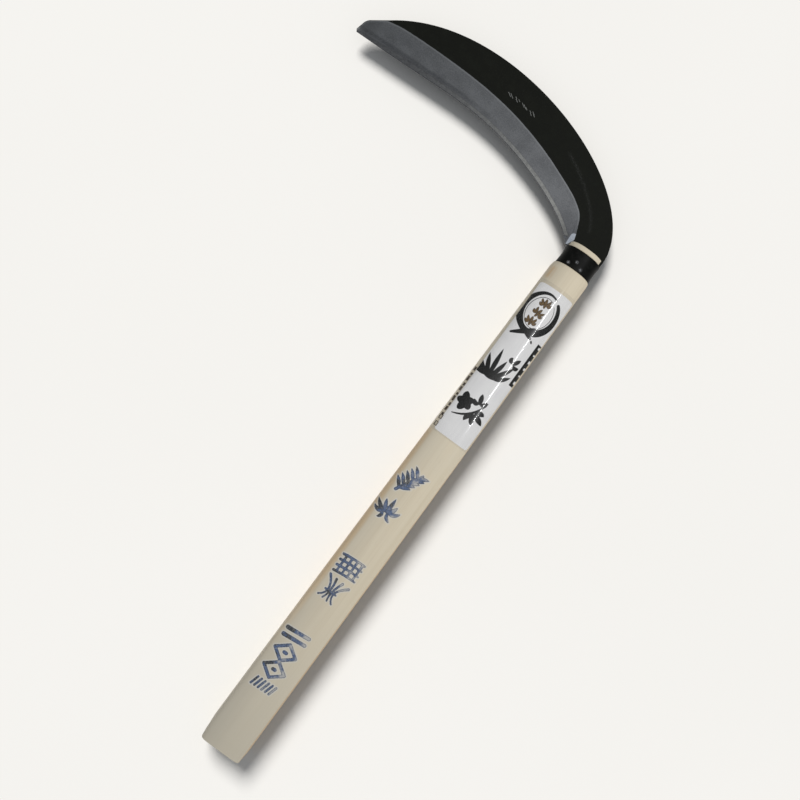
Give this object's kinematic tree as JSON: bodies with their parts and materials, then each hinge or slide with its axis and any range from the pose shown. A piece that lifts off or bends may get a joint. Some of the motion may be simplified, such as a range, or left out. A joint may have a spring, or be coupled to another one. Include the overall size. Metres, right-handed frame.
{
  "type": "hand sickle",
  "caption": "Hand sickle for cutting grass and grain: a thin curved single-bevel blade, a black steel ferrule and a straight wooden handle.",
  "frame": {"origin": "centre of the handle's butt face", "axes": "+Y along the handle from the butt to the head, the blade reaching towards -X, +Z out of the side of the blade that carries the bevel"},
  "size_m": [0.203, 0.4292, 0.0228],
  "materials": {
    "wood": "bare planed softwood, matt",
    "black_steel": "gloss black",
    "blade_iron": "black forge scale with a ground grey bevel",
    "edge_steel": "ground and whetted",
    "nail_steel": "bright wire nail",
    "label_print": "white print",
    "label_film": "clear gloss film"
  },
  "bodies": {
    "root": {"handle": "wood", "ferrule": "black_steel", "blade_body": "blade_iron", "edge_steel": "edge_steel", "tang_nail": "nail_steel", "label_panel": "label_print", "label_film": "label_film"}
  },
  "joints": []
}
